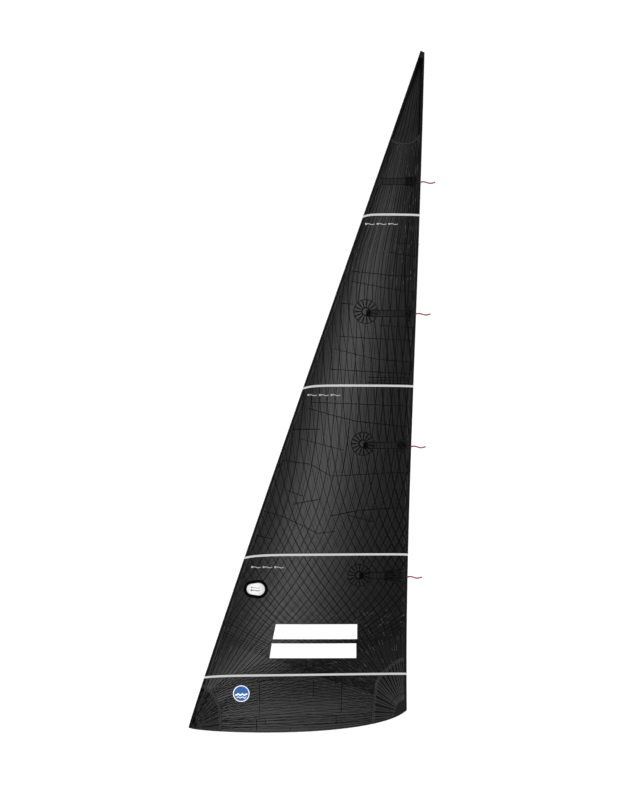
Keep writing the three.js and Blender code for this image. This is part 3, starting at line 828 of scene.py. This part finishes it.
def corner_grid(side_a, side_b, rim):
    """A grid of rays from a corner to a rim: each ray is a blend of the two sides, drawn out to the rim.

    The rim's own ends are first drawn to the ends of the sides.
    """
    v = np.linspace(0, 1, len(rim))[:, None]
    rim = rim + (side_a[-1] - rim[0]) * (1 - v) ** 6 + (side_b[-1] - rim[-1]) * v ** 6
    v = v[:, None]
    u = np.linspace(0, 1, len(side_a))[None, :, None]
    off = rim[:, None] - side_a[-1] * (1 - v) - side_b[-1] * v
    return side_a * (1 - v) + side_b * v + u * off


def foot_between(start, end):
    """Points on the foot curve between two of its parameters."""
    return foot_point(np.linspace(start, end, PATCH_STEPS))


def on_grid(grid, v, u):
    """Points of a grid at fractions v of its rows and u of its columns, by linear interpolation."""
    row = np.clip(np.asarray(v) * (grid.shape[0] - 1), 0, grid.shape[0] - 1.001)
    column = np.clip(np.asarray(u) * (grid.shape[1] - 1), 0, grid.shape[1] - 1.001)
    i, j = row.astype(int), column.astype(int)
    a, b = (row - i)[..., None], (column - j)[..., None]
    lower = grid[i, j] * (1 - b) + grid[i, j + 1] * b
    upper = grid[i + 1, j] * (1 - b) + grid[i + 1, j + 1] * b
    return lower * (1 - a) + upper * a


tack_rim, clew_rim, head_rim = (through(knots, PATCH_RAYS) for knots in (TACK_RIM, CLEW_RIM, HEAD_RIM))
tack_grid = corner_grid(foot_between(0.083, 0.27), tape_inner("luff", -0.0295, 0.858), tack_rim)
clew_grid = corner_grid(foot_between(0.976, 0.803), tape_inner("leech", 0.299, 1.405), clew_rim)
head_grid = corner_grid(tape_inner("luff", 13.49, 11.742), tape_inner("leech", 13.47, 11.83), head_rim)
arc = np.linspace(np.radians(209), np.radians(98), PATCH_RAYS)
pad_rim = np.array(CLEW) + PAD_RADIUS * np.stack([np.cos(arc), np.sin(arc)], axis=-1)
pad_leech = np.linspace(CLEW[1] + 0.004, 0.684, PATCH_STEPS)
pad_back = np.stack([leech_x(pad_leech) - 0.003, pad_leech], axis=-1)
pad_grid = corner_grid(foot_between(0.998, 0.8965), pad_back, pad_rim)

patch_film = film_material("patch_film", (0.0018, 0.0018, 0.0019), (0.0034, 0.0034, 0.0035), 0.32, 0.14, 5.0)
head_film = film_material("head_film", (0.0060, 0.0060, 0.0062), (0.0110, 0.0110, 0.0112), 0.34, 0.16, 5.0)
for corner, grid, level, film, size, area in (
    ("tack_patch", tack_grid, TRIM_LEVEL, patch_film, (0.74, 0.96), 0.42),
    ("clew_patch", clew_grid, TRIM_LEVEL, patch_film, (0.80, 1.42), 0.68),
    ("head_patch", head_grid, TRIM_LEVEL, head_film, (0.74, 1.86), 0.52),
    ("clew_pad", pad_grid, OVER_LEVEL, patch_film, (0.34, 0.42), 0.122),
):
    patch = sheet_piece(f"{corner}_ply", grid, level, TRIM_THICKNESS, film)
    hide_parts(corner)

# Strands on the patches: black rays, and the light thread that is stitched beside them and along the rims.
RAY_LEVEL = TRIM_LEVEL + TRIM_THICKNESS - STRAND_SINK
PAD_RAY_LEVEL = OVER_LEVEL + TRIM_THICKNESS - STRAND_SINK
STITCH_WIDTH = 0.0055
thread = principled("light_thread", (0.065, 0.065, 0.068), 0.6, 0.1)[0]
black_strand = principled("black_strand", (0.0008, 0.0008, 0.0008), 0.7, 0.02)[0]


def ray_paths(grid, v, start, end, points=24, sway=0.0):
    """Rays over a corner grid at fractions v of its turn, over part of its reach, with a slight sway."""
    u = np.linspace(0, 1, points)[None, :]
    start, end = np.reshape(start, (-1, 1)), np.reshape(end, (-1, 1))
    reach = start + (end - start) * u
    turn = np.asarray(v)[:, None] + sway * np.sin(2 * np.pi * u + 7.0 * np.asarray(v)[:, None])
    return on_grid(grid, *np.broadcast_arrays(turn, reach))


def rim_path(grid, reach, scallops, depth, points=240):
    """A line of scallops along a corner grid's rim, as one path."""
    v = np.linspace(0.01, 0.99, points)
    u = reach - depth * np.abs(np.sin(np.pi * scallops * v))
    return on_grid(grid, v, u)[None]


def pad_edge(turn):
    """Where the clew's rays begin, as a share of their reach: in along the pad's nearly straight edge."""
    return 0.42 - 0.45 * turn + 0.27 * turn ** 2


def corner_strands(name, paths, widths, material):
    """Strands at the clew: on the patch outside the pad, and on top of the pad within it."""
    from_clew = np.linalg.norm(paths - CLEW, axis=-1)
    outside = np.broadcast_to(from_clew > PAD_RADIUS + 0.004, from_clew.shape)
    strand_piece(f"{name}_on_patch", paths, widths, RAY_LEVEL, material, outside)
    strand_piece(f"{name}_on_pad", paths, widths, PAD_RAY_LEVEL, material, from_clew < PAD_RADIUS - 0.004)


clew_turns = np.linspace(0.07, 0.96, 17)
tack_turns = np.linspace(0.06, 0.97, 15)
head_turns = np.linspace(0.08, 0.92, 12)
ray_widths = np.linspace(0.020, 0.034, 17)[:, None] * np.linspace(0.35, 1.0, 60)
rays = ray_paths(clew_grid, clew_turns, pad_edge(clew_turns), 0.93, 60)
corner_strands("clew_rays", rays, ray_widths, black_strand)
tack_rays = ray_paths(tack_grid, tack_turns, 0.12, 0.95, sway=0.006)
ray_widths = random_widths(tack_rays, 0.018, 0.034) * np.linspace(0.35, 1.0, 24)
strand_piece("tack_rays", tack_rays, ray_widths, RAY_LEVEL, black_strand)
head_rays = ray_paths(head_grid, head_turns, 0.05, 0.98, sway=0.02)
strand_piece("head_rays", head_rays, random_widths(head_rays, 0.008, 0.020), RAY_LEVEL, black_strand)

half_turn = 0.5 * (clew_turns[1] - clew_turns[0])
stitched = np.sort(np.concatenate([clew_turns - 0.62 * half_turn, clew_turns + 0.62 * half_turn]))
rays = ray_paths(clew_grid, stitched, pad_edge(stitched), 0.985, 60)
corner_strands("clew_stitching", rays, STITCH_WIDTH, thread)
for corner, grid, reach, scallops, depth in (
    ("clew", clew_grid, 0.995, 17, 0.030),
    ("clew_inner", clew_grid, 0.955, 17, 0.030),
    ("tack", tack_grid, 0.985, 22, 0.015),
    ("tack_inner", tack_grid, 0.950, 22, 0.015),
    ("head", head_grid, 0.995, 9, 0.012),
):
    rim = rim_path(grid, reach, scallops, depth)
    strand_piece(f"{corner}_rim_stitching", rim, STITCH_WIDTH, RAY_LEVEL, thread)

# The same thread in short slanted stitches both ways over the tack patch.
rows = np.linspace(0.06, 0.94, 26)[:, None]
leaning = np.concatenate([rows + lean * np.linspace(0, 1, 24) for lean in (-0.10, 0.10)])
slanted = on_grid(tack_grid, *np.broadcast_arrays(leaning, np.linspace(0.25, 0.96, 24)))
strand_piece("tack_cross_stitching", slanted, 0.004, RAY_LEVEL, thread, dashes(slanted, 0.07, 0.5))

# ------------------------------------------------------------------ batten pockets
# A flat pocket of the same laminate stitched over each batten. Three end forward in a roundel, a disc with
# looped strands that spreads the batten's push, and all end aft in a patch with strands fanned to the leech.

POCKET_HALF = 0.071
POCKET_SEAM = 0.062            # from a pocket's middle line to the strand along each side
END_LAP = 0.012                # how much wider to each side than its pocket an end patch starts
PETALS = 15                    # loops of strand in a roundel
# Each batten: its number and height, its roundel's middle and radius, its end patch's length and half
# height, and half the share of that height that the patch's core takes.
BATTENS = [
    (1, 3.038, (3.404, 3.042), 0.230, 0.490, 0.145, 0.42),
    (2, 5.635, (3.484, 5.670), 0.240, 0.290, 0.230, 0.13),
    (3, 8.275, (3.542, 8.312), 0.248, 0.230, 0.270, 0.10),
    (4, 10.915, None, 0.0, 0.330, 0.112, 0.36),
]


def between(front, back, columns):
    """A grid of points between two rows of points, front and back."""
    share = np.linspace(0, 1, columns)[None, :, None]
    return front[:, None] * (1 - share) + back[:, None] * share


def disc_grid(centre, radius, steps, rings):
    """A grid over a disc: a row for each direction round it, with points from the middle to the rim."""
    angle = np.linspace(0, 2 * np.pi, steps + 1)[:-1, None]
    reach = radius * np.linspace(0, 1, rings)[None, :]
    return np.array(centre) + np.stack([reach * np.cos(angle), reach * np.sin(angle)], axis=-1)


pocket_film = film_material(
    "pocket_film", (0.0018, 0.0018, 0.0019), (0.0034, 0.0034, 0.0035), 0.30, 0.22, 6.0,
)
roundel_film = film_material(
    "roundel_film", (0.0022, 0.0022, 0.0023), (0.0042, 0.0042, 0.0043), 0.27, 0.28, 5.0,
)
for number, y, wheel, wheel_radius, end_length, end_half, core_half in BATTENS:
    inner = leech_x(y) - end_length
    heights = np.linspace(-POCKET_HALF, POCKET_HALF, 9) + y
    luff_end = luff_x(heights) + LUFF_COVER
    front = np.full_like(heights, wheel[0]) if wheel else luff_end
    front_row = np.stack([front, heights], axis=-1)
    back_row = np.stack([np.full_like(heights, inner - GAP), heights], axis=-1)
    pocket_grid = between(front_row, back_row, 40)
    pocket = sheet_piece(f"batten_{number}_pocket", pocket_grid, TRIM_LEVEL, TRIM_THICKNESS, pocket_film)
    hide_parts(f"batten_pocket_{number}")

    fan = np.linspace(-1, 1, 17)
    end_front = np.stack([np.full_like(fan, inner), y + fan * (POCKET_HALF + END_LAP)], axis=-1)
    end_y = y + fan * end_half
    end_back = np.stack([leech_x(end_y) - LEECH_COVER, end_y], axis=-1)
    end_grid = between(end_front, end_back, 16)
    end_ply = sheet_piece(f"batten_{number}_end_ply", end_grid, TRIM_LEVEL, TRIM_THICKNESS, pocket_film)
    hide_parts(f"batten_end_{number}")

    span = np.linspace(front.max() + 0.01, inner + end_length * 0.45, 60)
    edges = [np.stack([span, np.full_like(span, y + side)], axis=-1) for side in (-POCKET_SEAM, POCKET_SEAM)]
    strand_piece(f"batten_{number}_edge_strands", np.array(edges), 0.013, RAY_LEVEL, black_strand)
    tick_x = np.arange(front.max() + 0.05, inner - 0.02, 0.075)
    tick_y = np.linspace(-0.055, 0.055, 4)
    ticks = np.stack(np.broadcast_arrays(tick_x[:, None], y + tick_y[None, :]), axis=-1)
    strand_piece(f"batten_{number}_cross_strands", ticks, 0.012, RAY_LEVEL, black_strand)

    reach = np.linspace(0.03, 0.99, 24)
    starts = np.linspace(0.08, 0.92, 6)[:, None]
    leaning = np.concatenate([starts + lean * (reach - 0.5) for lean in (-0.6, 0.6)])
    lattice = on_grid(end_grid, *np.broadcast_arrays(np.clip(leaning, 0.03, 0.97), reach))
    strand_piece(f"batten_{number}_end_strands", lattice, 0.011, RAY_LEVEL, black_strand)
    core = np.linspace(0.5 - core_half, 0.5 + core_half, 5)[:, None]
    core = on_grid(end_grid, *np.broadcast_arrays(core, np.linspace(0.05, 0.97, 24)))
    strand_piece(f"batten_{number}_end_core", core, 0.017, RAY_LEVEL, black_strand, dashes(core, 0.09, 0.7))

    if wheel:
        disc = disc_grid(wheel, wheel_radius, 72, 10)
        name = f"batten_{number}_roundel_ply"
        roundel = sheet_piece(name, disc, TRIM_LEVEL, TRIM_THICKNESS, roundel_film, wrap=True)
        notch_top, notch_low = y + POCKET_HALF + GAP, y - POCKET_HALF - GAP
        notch_x = np.array([wheel[0] - GAP, wheel[0] + 0.4, wheel[0] + 0.4, wheel[0] - GAP])
        notch_y = np.array([notch_low, notch_low, notch_top, notch_top])
        cut_out(roundel, np.stack([notch_x, notch_y], axis=-1))
        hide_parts(f"batten_roundel_{number}")
        size = 2 * wheel_radius

        turn = np.linspace(0, 2 * np.pi, 40 * PETALS)
        circle = np.stack([np.cos(turn), np.sin(turn)], axis=-1)
        direction = turn + 0.15 * np.sin(PETALS * turn)
        reach = 0.62 - 0.35 * np.cos(PETALS * turn)
        loops = np.stack([reach * np.cos(direction), reach * np.sin(direction)], axis=-1)
        lines = np.array(wheel) + wheel_radius * np.array([loops, 0.96 * circle, 0.30 * circle])
        strand_piece(f"batten_{number}_roundel_loops", lines, 0.015, RAY_LEVEL, black_strand)
        rows = np.linspace(-0.040, 0.040, 5)[:, None]
        hub = np.stack(np.broadcast_arrays(wheel[0] + np.linspace(0.01, 0.10, 6), y + rows), axis=-1)
        strand_piece(f"batten_{number}_hub", hub, 0.024, RAY_LEVEL, black_strand)

# ------------------------------------------------------------------ draft stripes
# White tapes stuck across the sail from edge to edge. Seen from the deck their bend shows the camber.

STRIPE_WIDTH = 0.042
STRIPE_STEP = OVER_LEVEL - TRIM_LEVEL  # how far a stripe climbs to pass over a tape or a patch
STRIPES = [
    {"name": "foot", "luff": 0.994, "leech": 1.068, "bow": 0.034},
    {"name": "low", "luff": 3.384, "leech": 3.450, "bow": 0.060},
    {"name": "middle", "luff": 6.774, "leech": 6.814, "bow": 0.058},
    {"name": "high", "luff": 10.204, "leech": 10.236, "bow": 0.048},
]
white_tape = woven_material("white_tape", (0.48, 0.48, 0.475), (0.54, 0.54, 0.535), 0.6, 0.2, 0.0008, 0.1)
for stripe in STRIPES:
    s = np.linspace(0, 1, 161)[:, None] ** 1.4
    lift = stripe["bow"] * (1 - np.exp(-s / 0.07)) * (1 - s) ** 0.6
    middle = stripe["luff"] + (stripe["leech"] - stripe["luff"]) * s + lift
    y = middle + STRIPE_WIDTH * np.linspace(-0.5, 0.5, 4)[None, :]
    front, back = luff_x(y), leech_x(y)
    x = front + (back - front) * s
    over_luff = 1 - smoothstep((x - front - LUFF_TAPE_WIDTH - 0.003) / 0.03)
    over_leech = 1 - smoothstep((back - x - LEECH_TAPE_WIDTH - 0.003) / 0.03)
    climb = np.maximum(over_luff, over_leech)
    if stripe["name"] == "foot":
        climb = np.maximum(climb, smoothstep((x - CLEW_RIM[3][0] + 0.03) / 0.03))
    level = TRIM_LEVEL + STRIPE_STEP * climb
    grid = np.stack([x, y], axis=-1)
    piece = sheet_piece(f"{stripe['name']}_draft_stripe", grid, level, TRIM_THICKNESS, white_tape)
    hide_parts(f"draft_stripe_{stripe['name']}")

# ------------------------------------------------------------------ tell-tale window
# A pane of clear film let into the cloth and held by a black stuck-down ring, so that the tell-tales on
# both sides of the sail can be seen from the deck.

pane_edge = egg(RING_LAP - GAP)
pane_grid = between(np.broadcast_to(WINDOW_CENTRE, pane_edge.shape), pane_edge, 8)
clear_film, clear_shader = principled("clear_film", (0.90, 0.93, 0.92), 0.12, 0.5)
clear_shader.inputs["Alpha"].default_value = 0.14
pane = sheet_piece("clear_window_pane", pane_grid, CLOTH_LEVEL, CLOTH_THICKNESS, clear_film, wrap=True)
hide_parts("window_pane")

ring_tape = woven_material("window_ring_tape", (0.0004, 0.0004, 0.0004), (0.0008, 0.0008, 0.0008), 0.75, 0.02)
ring_grid = np.stack([egg(growth) for growth in np.linspace(0, RING_WIDTH, 6)], axis=1)
ring = sheet_piece("window_ring_tape", ring_grid, TRIM_LEVEL, TRIM_THICKNESS, ring_tape, wrap=True)
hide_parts("window_frame")

# ------------------------------------------------------------------ tell-tales
# Each is a round sticky dot with a light tail of nylon that streams aft in the wind. Three stand in a row
# behind the luff at each of three heights, and one lies on each side of the window.

DOT_RADIUS = 0.018
TAIL_LENGTH = 0.172
TAIL_HALF = 0.006
TAIL_FLUTTER = 0.008
TELLTALE_SPACING = 0.232
TELLTALE_ROWS = [(1, 1.268, 3.204), (2, 2.394, 6.644), (3, 3.548, 10.064)]


def flutter(s, size):
    """Sideways set of a loose tail from root to tip: a small crest, then a deeper dip."""
    return size * (np.sin(2 * np.pi * s) - (1 - np.cos(2 * np.pi * s)) / 2)


def telltale_grid(x, y):
    """A dot that runs on into a tail: its half-width is the dot's circle until the circle meets the tail."""
    over_dot = -DOT_RADIUS * np.cos(np.linspace(0, np.pi, 17))
    along = np.concatenate([over_dot, np.linspace(DOT_RADIUS, TAIL_LENGTH, 33)[1:]])
    circle = np.sqrt(np.maximum(DOT_RADIUS ** 2 - np.minimum(along, DOT_RADIUS) ** 2, 0))
    half = np.where(along > 0, np.maximum(circle, TAIL_HALF), circle)
    half = np.maximum(half, 0.0004)
    s = np.clip((along - DOT_RADIUS) / (TAIL_LENGTH - DOT_RADIUS), 0, 1)
    middle = y + flutter(s, TAIL_FLUTTER)
    across = middle[:, None] + np.linspace(-1, 1, 5)[None, :] * half[:, None]
    return np.stack([np.broadcast_to((x + along)[:, None], across.shape), across], axis=-1)


def add_telltale(node, x, y, level, material):
    """One tell-tale that stands for its node."""
    piece = sheet_piece(f"{node}_tail", telltale_grid(x, y), level, TRIM_THICKNESS, material)
    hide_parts(node)


white_nylon = woven_material("white_nylon", (0.42, 0.42, 0.41), (0.50, 0.50, 0.49), 0.5, 0.2, 0.0006, 0.1)
red_nylon = woven_material("red_nylon", (0.17, 0.006, 0.004), (0.21, 0.009, 0.006), 0.6, 0.1, 0.0006, 0.1)
green_nylon = woven_material("green_nylon", (0.10, 0.28, 0.13), (0.13, 0.34, 0.16), 0.5, 0.3, 0.0006, 0.1)
for number, x, y in TELLTALE_ROWS:
    for place in range(3):
        node = f"telltale_{number}_{place + 1}"
        add_telltale(node, x + TELLTALE_SPACING * place, y, TRIM_LEVEL, white_nylon)
add_telltale("window_telltale_near", 1.258, 2.742, TRIM_LEVEL, red_nylon)
under_pane = CLOTH_LEVEL - GAP - TRIM_THICKNESS
add_telltale("window_telltale_far", 1.262, 2.796, under_pane, green_nylon)

# ------------------------------------------------------------------ name panels and badge
# Two plain white panels of adhesive sailcloth, and a round printed emblem of plain waves, stuck on low down.

white_sticky = woven_material(
    "white_sticky_cloth", (0.88, 0.88, 0.87), (0.93, 0.93, 0.92), 0.6, 0.2, 0.0008, 0.1,
)
PANELS = [
    ("upper", [(1.686, 1.770), (3.370, 1.770), (3.370, 2.066), (1.746, 2.066)]),
    ("lower", [(1.622, 1.390), (3.352, 1.390), (3.352, 1.683), (1.666, 1.683)]),
]
BADGE_CENTRE = (1.054, 0.674)
BADGE_RADIUS = 0.166
BADGE_BLUE = (0.004, 0.09, 0.33)
BADGE_WHITE = (0.85, 0.87, 0.88)
WAVE_LENGTH = 0.085
WAVE_HEIGHT = 0.012
for name, corners in PANELS:
    low_left, low_right, high_right, high_left = np.array(corners)
    share = np.linspace(0, 1, 9)[:, None]
    left, right = low_left + (high_left - low_left) * share, low_right + (high_right - low_right) * share
    grid = between(left, right, 40)
    panel = sheet_piece(f"{name}_name_panel", grid, TRIM_LEVEL, TRIM_THICKNESS, white_sticky)
    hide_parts(f"name_panel_{name}")
    length, width = float(low_right[0] - low_left[0]), float(high_left[1] - low_left[1])

badge_film, badge_shader = principled("badge_film", BADGE_BLUE, 0.4, 0.4)
tree = badge_film.node_tree
place = tree.nodes.new("ShaderNodeTexCoord")
centred = tree.nodes.new("ShaderNodeMapping")
centred.vector_type = "POINT"
centred.inputs["Location"].default_value = (-(TACK[0] + BADGE_CENTRE[0]), -(TACK[1] + BADGE_CENTRE[1]), 0.0)
tree.links.new(place.outputs["Object"], centred.inputs["Vector"])
parts = tree.nodes.new("ShaderNodeSeparateXYZ")
tree.links.new(centred.outputs[0], parts.inputs[0])
right, up = parts.outputs["X"], parts.outputs["Y"]
squares = [math_node(tree, "MULTIPLY", part, part) for part in (right, up)]
from_centre = math_node(tree, "SQRT", math_node(tree, "ADD", *squares), 0)
wave = math_node(tree, "SINE", math_node(tree, "MULTIPLY", right, 2 * math.pi / WAVE_LENGTH), 0)
above_wave = math_node(tree, "SUBTRACT", up, math_node(tree, "MULTIPLY", wave, WAVE_HEIGHT))
bands = []
for height, half in ((-0.020, 0.017), (-0.078, 0.009)):
    offset = math_node(tree, "ABSOLUTE", math_node(tree, "SUBTRACT", above_wave, height), 0)
    bands.append(math_node(tree, "LESS_THAN", offset, half))
within = math_node(tree, "LESS_THAN", from_centre, 0.122)
waves = math_node(tree, "MULTIPLY", math_node(tree, "MAXIMUM", *bands), within)
white_rim = math_node(tree, "GREATER_THAN", from_centre, 0.148)
blended_colour(badge_shader, math_node(tree, "MAXIMUM", white_rim, waves), BADGE_BLUE, BADGE_WHITE)
badge_grid = disc_grid(BADGE_CENTRE, BADGE_RADIUS, 96, 12)
badge = sheet_piece("round_wave_badge", badge_grid, TRIM_LEVEL, TRIM_THICKNESS, badge_film, wrap=True)
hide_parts("round_badge")

# ------------------------------------------------------------------ leech ribbons
# Light red nylon strips glued to the leech tape at each batten. They stream aft when the air flows well.

RIBBON_ROOT = 0.022            # length glued on the tape
RIBBON_CLEAR = 0.004           # how far past the leech it starts to drop
RIBBON_DROP = 0.060            # how far past the leech it lies on the floor
RIBBON_LENGTH = 0.290
RIBBON_WIDTH = 0.026
RIBBON_FLUTTER = 0.014
for number, y in ((1, 3.004), (2, 5.612), (3, 8.266), (4, 10.900)):
    out = np.linspace(-RIBBON_ROOT, RIBBON_LENGTH, 90)
    s = np.clip(out / RIBBON_LENGTH, 0, 1)
    side = flutter(s, RIBBON_FLUTTER)
    line = np.stack([leech_x(y) + out, y + side], axis=-1)
    along = np.gradient(line, axis=0)
    along /= np.linalg.norm(along, axis=1, keepdims=True)
    across = np.stack([-along[:, 1], along[:, 0]], axis=-1)[:, None] * RIBBON_WIDTH
    across = across * np.linspace(-0.5, 0.5, 5)[None, :, None]
    ribbon_height = OVER_LEVEL * (1 - smoothstep((out - RIBBON_CLEAR) / (RIBBON_DROP - RIBBON_CLEAR)))
    grid = line[:, None] + across
    level = np.broadcast_to(ribbon_height[:, None], grid.shape[:2])
    ribbon = sheet_piece(f"leech_ribbon_{number}_strip", grid, level, TRIM_THICKNESS, red_nylon)
    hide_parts(f"leech_ribbon_{number}")

scene.view_layers[0].update()
